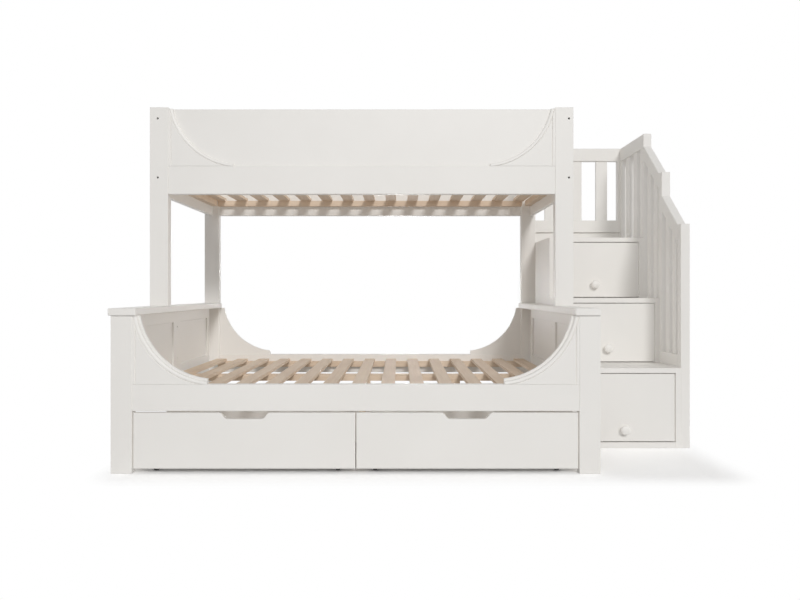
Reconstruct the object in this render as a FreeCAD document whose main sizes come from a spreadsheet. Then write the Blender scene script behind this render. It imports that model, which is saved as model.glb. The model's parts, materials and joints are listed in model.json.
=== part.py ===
# Bunk bed: a single bed over a double bed, two under-bed drawers, and storage stairs at the right end.
#
# Bed coordinates, used by every outline and box below, in millimetres: X runs along the bed from its
# middle, Y runs back from the front face of the lower posts, Z is the height above the floor.
# Each body is then placed so that the model's origin is the middle of its footprint, on the floor.

import FreeCAD, Part
import math
import os
import re
import Sketcher

doc = FreeCAD.newDocument("bunk_bed")

# ---------------------------------------------------------------- driving dimensions

DIMENSIONS = {
    # both beds
    "bed_length": 2000,
    "lower_depth": 1426,
    "upper_depth": 976,
    "post_width": 86,
    "post_depth": 45,
    "edge_break": 1.5,
    "board_bevel": 3,
    # lower end frames and the cap boards on them
    "end_height": 646,
    "end_thickness": 28,
    "end_top_rail": 59,
    "end_stile": 45,
    "panel_thickness": 10,
    "panel_tongue": 6,
    "middle_stile": 110,
    "stile_lap": 28,
    "cap_thickness": 30,
    "cap_overhang": 9,
    "cap_inset": 18,
    # long rails and the quarter-round brackets on them
    "rail_thickness": 34,
    "rail_setback": 2,
    "lower_rail_bottom": 256,
    "lower_rail_height": 109,
    "bracket_reach": 306,
    "bracket_tip": 22,
    "bracket_centre": 34,
    "bracket_radius": 317,
    "bracket_lip": 10,
    "bracket_layer": 14,
    "bracket_moulding": 9,
    # slatted bases
    "slat_count": 15,
    "slat_width": 60,
    "slat_thickness": 15,
    "slat_inset": 74,
    "slat_play": 2,
    "slat_drop": 25,
    "batten_depth": 32,
    "batten_height": 32,
    "beam_width": 45,
    "leg_width": 60,
    "leg_spacing": 455,
    # upper bed
    "upper_bottom": 1205,
    "upper_rail_height": 133,
    "post_rise": 6,
    "guard_top": 1609,
    "guard_thickness": 18,
    "upper_slat_drop": 32,
    "upper_end_thickness": 24,
    "left_end_inset": 25,
    "right_end_inset": 9,
    "cleat_width": 34,
    "entry_round": 40,
    # connector screws
    "screw_radius": 5,
    "screw_recess": 10,
    "screw_grip": 35,
    "screw_low": 78,
    "screw_high": 47,
    "stile_screw_low": 401,
    "stile_screw_high": 562,
    "stair_screw_grip": 16,
    # under-bed drawers
    "drawer_gap": 5,
    "drawer_lift": 20,
    "drawer_top_gap": 6,
    "drawer_front": 20,
    "notch_top": 195,
    "notch_bottom": 157,
    "notch_depth": 26,
    "notch_round": 18,
    "box_side": 14,
    "box_height": 150,
    "box_bottom": 9,
    "box_inset": 22,
    "box_lift": 26,
    "stop_play": 0.3,
    "wheel_radius": 20,
    "wheel_width": 16,
    "axle_radius": 4,
    "axle_play": 0.1,
    "fork_play": 1,
    "fork_plate": 3,
    "fork_length": 46,
    "fork_width": 24,
    "wheel_end": 75,
    # stairs
    "stair_width": 516,
    "stair_board": 24,
    "base_height": 28,
    "step_one": 381,
    "step_rise": 330,
    "stair_depth": 953,
    "going_one": 269,
    "going_two": 244,
    "face_gap": 4,
    "face_thickness": 20,
    "stair_box_gap": 34,
    "stair_box_side": 16,
    "stair_box_height": 200,
    "stair_box_lift": 22,
    "stair_box_play": 3,
    "runner_height": 17,
    "runner_bite": 7,
    "runner_play": 0.3,
    "runner_drop": 90,
    "knob_height_low": 57,
    "knob_height": 70,
    "knob_offset": 10,
    "knob_radius": 23,
    "knob_neck": 10,
    "knob_shank": 14,
    "knob_length": 34,
    # side railing
    "railing_width": 43,
    "slim_post": 42,
    "corner_post": 56,
    "post_lead": 25,
    "handrail_top": 1611,
    "handrail_height": 78,
    "handrail_drop": 81,
    "handrail_slope": 0.82,
    "slope_drop": 70,
    "joint_gap": 0.3,
    "front_post_top": 1067,
    "railing_slat_width": 46,
    "landing_slat_width": 68,
    "railing_slat_thickness": 28,
    "bottom_rail": 61,
    # guard across the back of the landing
    "back_upstand": 62,
    "guard_rail_low": 73,
    "guard_rail_high": 76,
    "guard_depth": 36,
    "guard_slat_thickness": 20,
    "guard_slat_width": 68,
    "guard_slat_pitch": 155,
    "guard_stile": 17,
}

# how near to a plane, in millimetres, an edge or face counts as lying in it
TOUCHING = 0.01
# cosine of the angle to an axis from which a straight edge counts as running along it
PARALLEL = 0.999

sheet = doc.addObject("Spreadsheet::Sheet", "dims")
for row, (alias, size) in enumerate(DIMENSIONS.items(), start=1):
    sheet.set(f"A{row}", alias)
    sheet.set(f"B{row}", str(size))
    sheet.setAlias(f"B{row}", alias)
doc.recompute()


def bound(expression):
    """The expression with every named dimension read from the sheet."""
    return re.sub(r"[a-z]\w*_\w+", lambda word: f"dims.{word.group()}", f"{expression}")


def value(expression):
    """The number that an expression has now."""
    return float(sheet.evalExpression(bound(expression)))


# ---------------------------------------------------------------- derived places, as expressions

END_LEFT = "(-bed_length / 2)"
END_RIGHT = "(bed_length / 2)"
POST_IN = "(bed_length / 2 - post_width)"
SIGN = {"left": -1, "right": 1}

RAIL_TOP = "(lower_rail_bottom + lower_rail_height)"
CAP_TOP = "(end_height + cap_thickness)"
SLAT_PITCH = "((bed_length - 2 * slat_inset - slat_width) / (slat_count - 1))"
SLAT_TOP = f"({RAIL_TOP} - slat_drop)"
BATTEN_TOP = f"({SLAT_TOP} - slat_thickness)"
RAIL_IN = "(rail_setback + rail_thickness)"

UPPER_FRONT = "(lower_depth - upper_depth)"
UPPER_RAIL_TOP = "(upper_bottom + upper_rail_height)"
UPPER_TOP = "(guard_top + post_rise)"
UPPER_SLAT_TOP = f"({UPPER_RAIL_TOP} - upper_slat_drop)"
UPPER_BATTEN_TOP = f"({UPPER_SLAT_TOP} - slat_thickness)"
LEFT_END_X = f"({END_LEFT} + left_end_inset)"
RIGHT_END_X = f"({END_RIGHT} - right_end_inset - upper_end_thickness)"

DRAWER_WIDTH = "((bed_length - 2 * post_width - 3 * drawer_gap) / 2)"
DRAWER_X = {
    "left": f"({DRAWER_WIDTH} / -2 - drawer_gap / 2)",
    "right": f"({DRAWER_WIDTH} / 2 + drawer_gap / 2)",
}
LEG_FRONT = "(lower_depth / 2 - beam_width / 2)"
DRAWER_BACK = f"({LEG_FRONT} - stop_play)"
BOX_FLOOR = "(drawer_lift + box_lift)"

STAIR_RIGHT = "(bed_length / 2 + stair_width)"
STAIR_MIDDLE = "(bed_length / 2 + stair_width / 2)"
STAIR_IN_LEFT = "(bed_length / 2 + stair_board)"
STAIR_IN_RIGHT = "(bed_length / 2 + stair_width - stair_board)"
STAIR_BACK = "(lower_depth - stair_board)"
FOOT = "(lower_depth - stair_depth)"
RISERS = (FOOT, f"({FOOT} + going_one)", f"({FOOT} + going_one + going_two)")
TREAD_TOPS = ("step_one", "(step_one + step_rise)", "(step_one + 2 * step_rise)")
FLOORS = ("base_height", TREAD_TOPS[0], TREAD_TOPS[1])
LANDING = TREAD_TOPS[2]
# the end board's middle stile stands beside the second riser, where it takes the screws into the stairs
STILE_MIDDLE = f"({RISERS[1]} + stile_lap)"

# front faces and back faces of the four railing posts, from the foot of the stairs to the landing
POST_FRONTS = (RISERS[0], f"({RISERS[1]} - post_lead)", RISERS[2], "(lower_depth - corner_post)")
POST_DEPTHS = ("slim_post", "slim_post", "corner_post", "corner_post")
POST_BACKS = tuple(f"({front} + {depth})" for front, depth in zip(POST_FRONTS, POST_DEPTHS))

# tops of the handrails where they meet the posts, and of the posts themselves
LANDING_RAIL = "(handrail_top - handrail_height)"
UPPER_SLOPE_HIGH = "(handrail_top - slope_drop)"
UPPER_SLOPE_LOW = f"({UPPER_SLOPE_HIGH} - handrail_slope * ({POST_FRONTS[2]} - {POST_BACKS[1]}))"
LOWER_SLOPE_LOW = "front_post_top"
LOWER_SLOPE_HIGH = f"({LOWER_SLOPE_LOW} + handrail_slope * ({POST_FRONTS[1]} - {POST_BACKS[0]}))"
POST_TOPS = (LOWER_SLOPE_LOW, UPPER_SLOPE_LOW, LANDING_RAIL, LANDING_RAIL)

# the model's origin in bed coordinates
MID_X = "((stair_width + railing_width - cap_overhang) / 2)"
MID_Y = "((lower_depth - cap_overhang) / 2)"


# ---------------------------------------------------------------- building blocks

def new_body(label):
    """An empty body in bed coordinates, placed in the model's own frame."""
    body = doc.addObject("PartDesign::Body", label)
    body.Label = label
    body.AllowCompound = True
    body.setExpression("Placement.Base.x", bound(f"-{MID_X}"))
    body.setExpression("Placement.Base.y", bound(f"-{MID_Y}"))
    return body


def add_box(body, corner, size):
    """A board with square edges: its lowest corner and its size along X, Y and Z."""
    box = body.newObject("PartDesign::AdditiveBox", "board")
    for axis, place in zip("xyz", corner):
        box.setExpression(f"Placement.Base.{axis}", bound(place))
    for side, length in zip(("Length", "Width", "Height"), size):
        box.setExpression(side, bound(length))
    return box


def break_edges(body, size="edge_break"):
    """A small chamfer on every edge made so far."""
    sharp = body.Tip
    chamfer = body.newObject("PartDesign::Chamfer", "broken_edges")
    chamfer.Base = (sharp, [""])
    chamfer.UseAllEdges = True
    chamfer.setExpression("Size", bound(size))


def boards(label, boxes, broken=True):
    """One node of one or more separate boards, each given by its lowest corner and size."""
    body = new_body(label)
    for corner, size in boxes:
        add_box(body, corner, size)
    if broken:
        break_edges(body)
    return body


def arc_about(x, y):
    """Marks, between two points of an outline, a stretch that is an arc about the given centre."""
    return {"centre": (x, y)}


def draw_line(sketch, start, end):
    """A straight stretch of an outline."""
    sketch.addGeometry(Part.LineSegment(start, end))


def draw_arc(sketch, start, end, centre):
    """The shorter arc from start to end. Returns which end of the arc is its start point."""
    first = math.atan2(start.y - centre.y, start.x - centre.x)
    last = math.atan2(end.y - centre.y, end.x - centre.x)
    forward = (last - first) % (2 * math.pi) < math.pi
    if not forward:
        first, last = last, first
    circle = Part.Circle(centre, FreeCAD.Vector(0, 0, 1), start.distanceToPoint(centre))
    sketch.addGeometry(Part.ArcOfCircle(circle, first, last))
    return (1, 2) if forward else (2, 1)


def bind_point(sketch, name, geometry, end, place, free_axis=None):
    """Ties one point of a sketch to a place given by two expressions."""
    for axis, expression in zip("XY", place):
        if axis == free_axis:
            continue
        rule = Sketcher.Constraint(f"Distance{axis}", -1, 1, geometry, end, value(expression))
        index = sketch.addConstraint(rule)
        sketch.renameConstraint(index, f"{name}{axis}")
        sketch.setExpression(f"Constraints.{name}{axis}", bound(expression))


def draw_outline(sketch, outline, name):
    """A closed outline of points, with arcs where arc_about stands between two of them."""
    points = [item for item in outline if not isinstance(item, dict)]
    centres = {}
    for index, item in enumerate(outline):
        if isinstance(item, dict):
            before = sum(1 for other in outline[:index] if not isinstance(other, dict)) - 1
            centres[before] = item["centre"]
    spots = [FreeCAD.Vector(value(x), value(y), 0) for x, y in points]
    first_geometry = sketch.GeometryCount
    ends = []
    for index, start in enumerate(spots):
        end = spots[(index + 1) % len(spots)]
        if index in centres:
            centre = FreeCAD.Vector(*[value(part) for part in centres[index]], 0)
            ends.append(draw_arc(sketch, start, end, centre))
        else:
            draw_line(sketch, start, end)
            ends.append((1, 2))
    for index in range(len(spots)):
        following = (index + 1) % len(spots)
        rule = Sketcher.Constraint("Coincident", first_geometry + index, ends[index][1],
                                   first_geometry + following, ends[following][0])
        sketch.addConstraint(rule)
    for index, place in enumerate(points):
        # the arc's own radius settles one coordinate of the point where it ends
        free_axis = None
        if (index - 1) % len(points) in centres:
            centre = centres[(index - 1) % len(points)]
            across = abs(spots[index].x - value(centre[0]))
            along = abs(spots[index].y - value(centre[1]))
            free_axis = "X" if across > along else "Y"
        bind_point(sketch, f"{name}p{index}", first_geometry + index, ends[index][0], place, free_axis)
        if index in centres:
            bind_point(sketch, f"{name}c{index}", first_geometry + index, 3, centres[index])


def add_sketch(body, plane, offset, outlines):
    """A sketch of closed outlines on a plane of the body, moved along the axis that the plane faces."""
    sketch = body.newObject("Sketcher::SketchObject", "outline")
    support = [item for item in body.Origin.OriginFeatures if item.Role == f"{plane}_Plane"][0]
    sketch.AttachmentSupport = [(support, "")]
    sketch.MapMode = "FlatFace"
    # the XZ plane faces the front, so an offset to the back is negative there
    shift = f"-({offset})" if plane == "XZ" else offset
    sketch.setExpression("AttachmentOffset.Base.z", bound(shift))
    for index, outline in enumerate(outlines):
        draw_outline(sketch, outline, f"o{index}")
    return sketch


def pad(body, plane, offset, thickness, outlines):
    """Boards cut to outlines in a plane: they start at the offset and are as thick as stated."""
    feature = body.newObject("PartDesign::Pad", "cut_board")
    feature.Profile = add_sketch(body, plane, offset, outlines)
    feature.Reversed = plane == "XZ"
    feature.setExpression("Length", bound(thickness))
    return feature


def rectangle(low_x, low_y, high_x, high_y):
    """An outline of four points."""
    return [(low_x, low_y), (high_x, low_y), (high_x, high_y), (low_x, high_y)]


def cylinder(body, kind, axis, start, radius, length):
    """A cylinder along X or Y, added to the body or cut out of it, from its low end."""
    turn = {
        "X": FreeCAD.Rotation(FreeCAD.Vector(0, 1, 0), 90),
        "Y": FreeCAD.Rotation(FreeCAD.Vector(1, 0, 0), -90),
    }
    round_bar = body.newObject(kind, "cylinder")
    round_bar.Placement = FreeCAD.Placement(FreeCAD.Vector(), turn[axis])
    for part, place in zip("xyz", start):
        round_bar.setExpression(f"Placement.Base.{part}", bound(place))
    round_bar.setExpression("Radius", bound(radius))
    round_bar.setExpression("Height", bound(length))


def bore(body, axis, start, radius, length):
    """A round hole along X or Y, from its low end."""
    doc.recompute()
    before = body.Shape.Volume
    cylinder(body, "PartDesign::SubtractiveCylinder", axis, start, radius, length)
    doc.recompute()
    if not body.Shape.Volume < before:
        raise RuntimeError(f"a hole in {body.Label} cuts nothing")


def pick_edges(body, wanted):
    """The body as it stands and the names of its edges that the test picks."""
    doc.recompute()
    sharp = body.Tip
    names = [f"Edge{index}" for index, edge in enumerate(sharp.Shape.Edges, start=1) if wanted(edge)]
    if not names:
        raise RuntimeError(f"no edge to ease in {body.Label}")
    return sharp, names


def round_edges(body, radius, wanted):
    """A fillet on the edges of the body that the test picks."""
    picked = pick_edges(body, wanted)
    fillet = body.newObject("PartDesign::Fillet", "rounded_edges")
    fillet.Base = picked
    fillet.setExpression("Radius", bound(radius))


def bevel_edges(body, size, wanted):
    """A chamfer on the edges of the body that the test picks."""
    picked = pick_edges(body, wanted)
    chamfer = body.newObject("PartDesign::Chamfer", "bevelled_edges")
    chamfer.Base = picked
    chamfer.setExpression("Size", bound(size))


def runs_along(edge, axis):
    """True for a straight edge along X, Y or Z."""
    if not isinstance(edge.Curve, Part.Line):
        return False
    direction = edge.Curve.Direction
    return abs(getattr(direction, axis.lower())) > PARALLEL


def revolve(body, centre, outline):
    """A turned form about an axis through the centre: the outline runs along that axis and off it."""
    plane, place = centre
    sketch = add_sketch(body, plane, place[2], [outline])
    sketch.setExpression("AttachmentOffset.Base.x", bound(place[0]))
    sketch.setExpression("AttachmentOffset.Base.y", bound(place[1]))
    feature = body.newObject("PartDesign::Revolution", "turned")
    feature.Profile = sketch
    feature.ReferenceAxis = (sketch, ["H_Axis"])
    feature.Angle = 360
    return feature


# ---------------------------------------------------------------- lower bed

def mirrored_y(front, depth):
    """The low Y of a piece of the lower bed's back that mirrors one in front of it."""
    return f"(lower_depth - {front} - {depth})"


def lower_bed():
    for row, y in (("front", "0"), ("back", "(lower_depth - post_depth)")):
        for side, x in (("left", END_LEFT), ("right", POST_IN)):
            boards(f"lower_post_{row}_{side}", [((x, y, "0"), ("post_width", "post_depth", "end_height"))])
    rail_size = ("bed_length - 2 * post_width", "rail_thickness", "lower_rail_height")
    for row, y in (("front", "rail_setback"), ("back", mirrored_y("rail_setback", "rail_thickness"))):
        boards(f"lower_rail_{row}", [((f"-{POST_IN}", y, "lower_rail_bottom"), rail_size)])
    for side, x in (("left", END_LEFT), ("right", f"({END_RIGHT} - end_thickness)")):
        lower_end(f"lower_end_{side}", x)
    cap("cap_board_left", f"({END_LEFT} - cap_overhang)", f"-{POST_IN}", f"(-{POST_IN} + cap_inset)")
    cap("cap_board_right", END_RIGHT, POST_IN, f"({POST_IN} - cap_inset)")


def lower_end(label, x):
    """An end frame with two sunk panels, grooved in, and two screw holes in its middle stile."""
    low, high = "post_depth", "(lower_depth - post_depth)"
    window_low = RAIL_TOP
    window_high = "(end_height - end_top_rail)"
    stile_front = f"({STILE_MIDDLE} - middle_stile / 2)"
    stile_back = f"({STILE_MIDDLE} + middle_stile / 2)"
    windows = [
        rectangle(f"({low} + end_stile)", window_low, stile_front, window_high),
        rectangle(stile_back, window_low, f"({high} - end_stile)", window_high),
    ]
    body = new_body(label)
    pad(body, "YZ", x, "end_thickness", [rectangle(low, "lower_rail_bottom", high, "end_height"), *windows])
    break_edges(body)
    panels = [
        rectangle(f"({low} + end_stile - panel_tongue)", f"({window_low} - panel_tongue)",
                  f"({stile_front} + panel_tongue)", f"({window_high} + panel_tongue)"),
        rectangle(f"({stile_back} - panel_tongue)", f"({window_low} - panel_tongue)",
                  f"({high} - end_stile + panel_tongue)", f"({window_high} + panel_tongue)"),
    ]
    pad(body, "YZ", f"{x} + (end_thickness - panel_thickness) / 2", "panel_thickness", panels)
    for z in ("stile_screw_low", "stile_screw_high"):
        bore(body, "X", (x, STILE_MIDDLE, z), "screw_radius", "end_thickness")


def cap(label, outer_x, post_x, inner_x):
    """The board that lies on an end of the lower bed. Its lip over the bed stops at the back post."""
    body = new_body(label)
    lip_end = "(lower_depth - post_depth)"
    outline = [(outer_x, "-cap_overhang"), (inner_x, "-cap_overhang"), (inner_x, lip_end), (post_x, lip_end),
               (post_x, "lower_depth"), (outer_x, "lower_depth")]
    pad(body, "XY", "end_height", "cap_thickness", [outline])
    break_edges(body, "board_bevel")


# ---------------------------------------------------------------- corner brackets

def bracket_outline(side, foot, top, radius):
    """One bracket seen from the front: upright against the post, with a hollow quarter-round edge."""
    sign = SIGN[side]
    post = f"({sign} * {POST_IN})"
    tip = f"({sign} * ({POST_IN} - bracket_reach))"
    centre_x = f"({sign} * ({POST_IN} - bracket_reach - bracket_centre))"
    # the open edge's arc passes through the tip; the other layer's arc shares its centre
    centre_z = f"({foot} + bracket_tip + sqrt(bracket_radius ^ 2 - bracket_centre ^ 2))"
    tip_z = f"({centre_z} - sqrt({radius} ^ 2 - bracket_centre ^ 2))"
    neck = f"({centre_x} + {sign} * sqrt({radius} ^ 2 - ({centre_z} - {top}) ^ 2))"
    return [(post, foot), (tip, foot), (tip, tip_z), arc_about(centre_x, centre_z), (neck, top), (post, top)]


def brackets(label, rows, foot, top, double):
    """Four brackets. Each row gives the outer face's Y and +1 or -1 for the way that the board goes in."""
    body = new_body(label)
    outer_radius = "(bracket_radius + bracket_lip)"
    for outer_y, way in rows:
        front_y = outer_y if way > 0 else f"({outer_y} - bracket_layer)"
        inner_y = f"({outer_y} + bracket_layer)" if way > 0 else f"({outer_y} - 2 * bracket_layer)"
        for side in SIGN:
            pad(body, "XZ", front_y, "bracket_layer", [bracket_outline(side, foot, top, outer_radius)])
            if double:
                inner = bracket_outline(side, foot, top, "bracket_radius")
                pad(body, "XZ", inner_y, "bracket_layer", [inner])
    radius = value(outer_radius)
    outer_faces = [value(outer_y) for outer_y, way in rows]

    def moulded(edge):
        """The arc on the outer face of the outer layer."""
        if not isinstance(edge.Curve, Part.Circle) or abs(edge.Curve.Radius - radius) > TOUCHING:
            return False
        return min(abs(edge.CenterOfMass.y - face) for face in outer_faces) < TOUCHING

    bevel_edges(body, "bracket_moulding", moulded)


def all_brackets():
    rows = [("rail_setback", 1), ("(lower_depth - rail_setback)", -1)]
    brackets("lower_brackets", rows, RAIL_TOP, "end_height", True)
    rows = [(f"({UPPER_FRONT} + rail_setback)", 1), ("(lower_depth - rail_setback)", -1)]
    brackets("upper_brackets", rows, UPPER_RAIL_TOP, "guard_top", False)


# ---------------------------------------------------------------- slatted bases

def slats(label, low_y, high_y, low_z):
    """A row of slats across the bed, evenly spaced, whose ends lie between the front and back posts."""
    body = new_body(label)
    first_x = f"({END_LEFT} + slat_inset)"
    first = add_box(body, (first_x, low_y, low_z), ("slat_width", f"{high_y} - {low_y}", "slat_thickness"))
    row = body.newObject("PartDesign::LinearPattern", "slat_row")
    row.Originals = [first]
    along = [item for item in body.Origin.OriginFeatures if item.Role == "X_Axis"][0]
    row.Direction = (along, [""])
    row.setExpression("Occurrences", bound("slat_count"))
    row.setExpression("Length", bound(f"(slat_count - 1) * {SLAT_PITCH}"))
    body.Tip = row


def slatted_bases():
    batten = (f"2 * {POST_IN}", "batten_depth", "batten_height")
    lower_z = f"({BATTEN_TOP} - batten_height)"
    boards("lower_battens", [
        ((f"-{POST_IN}", RAIL_IN, lower_z), batten),
        ((f"-{POST_IN}", mirrored_y(RAIL_IN, "batten_depth"), lower_z), batten),
    ], broken=False)
    beam_in = f"({END_RIGHT} - end_thickness)"
    leg = ("leg_width", "beam_width", lower_z)
    legs = [((f"({place} * leg_spacing - leg_width / 2)", LEG_FRONT, "0"), leg) for place in (-1, 0, 1)]
    beam = ((f"-{beam_in}", LEG_FRONT, lower_z), (f"2 * {beam_in}", "beam_width", "batten_height"))
    boards("centre_beam", [beam, *legs], broken=False)
    back = "(lower_depth - post_depth - slat_play)"
    slats("lower_slats", "(post_depth + slat_play)", back, BATTEN_TOP)

    upper_z = f"({UPPER_BATTEN_TOP} - batten_height)"
    front_in = f"({UPPER_FRONT} + {RAIL_IN})"
    cleat = ("cleat_width", f"lower_depth - {RAIL_IN} - {front_in} - 2 * batten_depth", "batten_height")
    left_x = f"({LEFT_END_X} + upper_end_thickness)"
    boards("upper_battens", [
        ((f"-{POST_IN}", front_in, upper_z), batten),
        ((f"-{POST_IN}", mirrored_y(RAIL_IN, "batten_depth"), upper_z), batten),
        ((left_x, f"({front_in} + batten_depth)", upper_z), cleat),
        ((f"({RIGHT_END_X} - cleat_width)", f"({front_in} + batten_depth)", upper_z), cleat),
    ], broken=False)
    slats("upper_slats", f"({UPPER_FRONT} + post_depth + slat_play)", back, UPPER_BATTEN_TOP)


# ---------------------------------------------------------------- upper bed

UPPER_SCREWS = ("(upper_bottom + screw_low)", "(guard_top - screw_high)")
SCREW_X = {
    "left": f"({LEFT_END_X} + upper_end_thickness / 2)",
    "right": f"({RIGHT_END_X} + upper_end_thickness / 2)",
}


def upper_posts():
    """Four posts on the cap boards. The front ones have two screw holes through them into the end board."""
    for side, x in (("left", END_LEFT), ("right", POST_IN)):
        for row, y in (("front", UPPER_FRONT), ("back", "(lower_depth - post_depth)")):
            body = boards(f"upper_post_{row}_{side}",
                          [((x, y, CAP_TOP), ("post_width", "post_depth", f"{UPPER_TOP} - {CAP_TOP}"))])
            if row == "back":
                continue
            for z in UPPER_SCREWS:
                bore(body, "Y", (SCREW_X[side], y, z), "screw_radius", "post_depth")


def upper_end(label, x, side, entry):
    """An end board between the posts. The one at the stairs is cut down to the rail beside the landing."""
    low, high = f"({UPPER_FRONT} + post_depth)", "(lower_depth - post_depth)"
    body = new_body(label)
    if entry:
        guard_end = RISERS[2]
        outline = [(low, "upper_bottom"), (high, "upper_bottom"), (high, UPPER_RAIL_TOP),
                   (f"({guard_end} + entry_round)", UPPER_RAIL_TOP),
                   arc_about(f"({guard_end} + entry_round)", f"({UPPER_RAIL_TOP} + entry_round)"),
                   (guard_end, f"({UPPER_RAIL_TOP} + entry_round)"),
                   (guard_end, "(guard_top - entry_round)"),
                   arc_about(f"({guard_end} - entry_round)", "(guard_top - entry_round)"),
                   (f"({guard_end} - entry_round)", "guard_top"), (low, "guard_top")]
    else:
        outline = rectangle(low, "upper_bottom", high, "guard_top")
    pad(body, "YZ", x, "upper_end_thickness", [outline])
    break_edges(body)
    for z in UPPER_SCREWS:
        bore(body, "Y", (SCREW_X[side], low, z), "screw_radius", "screw_grip")


def upper_bed():
    upper_posts()
    size = ("bed_length - 2 * post_width", "rail_thickness", "upper_rail_height")
    guard = ("bed_length - 2 * post_width", "guard_thickness", f"guard_top - {UPPER_RAIL_TOP}")
    front_y = f"({UPPER_FRONT} + rail_setback)"
    back_y = mirrored_y("rail_setback", "rail_thickness")
    boards("upper_rail_front", [((f"-{POST_IN}", front_y, "upper_bottom"), size)])
    boards("upper_rail_back", [((f"-{POST_IN}", back_y, "upper_bottom"), size)])
    front_y = f"({front_y} + bracket_layer)"
    back_y = "(lower_depth - rail_setback - bracket_layer - guard_thickness)"
    boards("upper_guard_front", [((f"-{POST_IN}", front_y, UPPER_RAIL_TOP), guard)])
    boards("upper_guard_back", [((f"-{POST_IN}", back_y, UPPER_RAIL_TOP), guard)])
    upper_end("upper_end_left", LEFT_END_X, "left", False)
    upper_end("upper_end_right", RIGHT_END_X, "right", True)


def screws():
    """The sunk connector screws of the upper bed's ends, and the two that hold the stairs to the bed."""
    body = new_body("connector_screws")
    through_post = "(post_depth - screw_recess + screw_grip)"
    for side in SIGN:
        for z in UPPER_SCREWS:
            start = (SCREW_X[side], f"({UPPER_FRONT} + screw_recess)", z)
            cylinder(body, "PartDesign::AdditiveCylinder", "Y", start, "screw_radius", through_post)
    through_end = "(end_thickness - screw_recess + stair_screw_grip)"
    for z in ("stile_screw_low", "stile_screw_high"):
        start = (f"({END_RIGHT} - end_thickness + screw_recess)", STILE_MIDDLE, z)
        cylinder(body, "PartDesign::AdditiveCylinder", "X", start, "screw_radius", through_end)


# ---------------------------------------------------------------- under-bed drawers

def drawer_front(label, side):
    """A drawer front with a notch in its top edge as the grip."""
    middle = DRAWER_X[side]
    top = "(lower_rail_bottom - drawer_top_gap)"
    low_x, high_x = f"({middle} - {DRAWER_WIDTH} / 2)", f"({middle} + {DRAWER_WIDTH} / 2)"
    notch_z = f"({top} - notch_depth)"
    notch = [(f"({middle} + notch_top / 2)", top), (f"({middle} + notch_bottom / 2)", notch_z),
             (f"({middle} - notch_bottom / 2)", notch_z), (f"({middle} - notch_top / 2)", top)]
    outline = [(low_x, "drawer_lift"), (high_x, "drawer_lift"), (high_x, top), *notch, (low_x, top)]
    body = new_body(label)
    pad(body, "XZ", "rail_setback", "drawer_front", [outline])
    centre, reach, floor = value(middle), value("notch_top / 2") + TOUCHING, value(notch_z) - TOUCHING
    round_edges(body, "notch_round", lambda edge: runs_along(edge, "Y") and edge.CenterOfMass.z > floor
                and abs(edge.CenterOfMass.x - centre) < reach)
    face = value("rail_setback")
    bevel_edges(body, "board_bevel", lambda edge: abs(edge.BoundBox.YMax - face) < TOUCHING)


def drawer_box(label, side):
    """Two sides and a back on the front, round a plywood bottom."""
    half = f"({DRAWER_WIDTH} / 2 - box_inset)"
    low_x, high_x = f"({DRAWER_X[side]} - {half})", f"({DRAWER_X[side]} + {half})"
    front = "(rail_setback + drawer_front)"
    inner_x = f"({low_x} + box_side)"
    inner_y = f"({DRAWER_BACK} - box_side)"
    inner_width = f"2 * {half} - 2 * box_side"
    side_board = ("box_side", f"{DRAWER_BACK} - {front}", "box_height")
    boards(label, [
        ((low_x, front, BOX_FLOOR), side_board),
        ((f"({high_x} - box_side)", front, BOX_FLOOR), side_board),
        ((inner_x, inner_y, BOX_FLOOR), (inner_width, "box_side", "box_height")),
        ((inner_x, front, BOX_FLOOR), (inner_width, f"{inner_y} - {front}", "box_bottom")),
    ], broken=False)


def wheel_places(side):
    """Middle X and axle Y of the four wheels of a drawer, front pair first."""
    reach = f"({DRAWER_WIDTH} / 2 - wheel_end)"
    front_y = "(rail_setback + drawer_front + fork_length)"
    back_y = f"({DRAWER_BACK} - fork_length)"
    return [[(f"({DRAWER_X[side]} + {way} * {reach})", y) for way in (-1, 1)] for y in (front_y, back_y)]


def wheel_forks(label, side):
    """A plate under the drawer with two cheeks and an axle between them, for each wheel."""
    body = new_body(label)
    half = "(wheel_width / 2 + fork_play)"
    for pair in wheel_places(side):
        for x, y in pair:
            plate = (f"({x} - 2 * wheel_width)", f"({y} - fork_length / 2)", f"({BOX_FLOOR} - fork_plate)")
            add_box(body, plate, ("4 * wheel_width", "fork_length", "fork_plate"))
            for low_x in (f"({x} - {half} - fork_plate)", f"({x} + {half})"):
                add_box(body, (low_x, f"({y} - fork_width / 2)", "wheel_radius - 2 * axle_radius"),
                        ("fork_plate", "fork_width", f"{BOX_FLOOR} - wheel_radius + 2 * axle_radius"))
            start = (f"({x} - {half})", y, "wheel_radius")
            cylinder(body, "PartDesign::AdditiveCylinder", "X", start, "axle_radius", f"2 * {half}")


def wheels(label, pair):
    """Two wheels on one line, each bored for its axle."""
    body = new_body(label)
    half = "(wheel_width / 2)"
    outline = rectangle(f"-{half}", "(axle_radius + axle_play)", half, "wheel_radius")
    for x, y in pair:
        revolve(body, ("XY", (x, y, "wheel_radius")), outline)


def under_bed_drawers():
    for side in SIGN:
        drawer_front(f"drawer_{side}_front", side)
        drawer_box(f"drawer_{side}_box", side)
        wheel_forks(f"drawer_{side}_wheel_forks", side)
        front_pair, back_pair = wheel_places(side)
        wheels(f"drawer_{side}_front_wheels", front_pair)
        wheels(f"drawer_{side}_back_wheels", back_pair)


# ---------------------------------------------------------------- stairs

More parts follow.
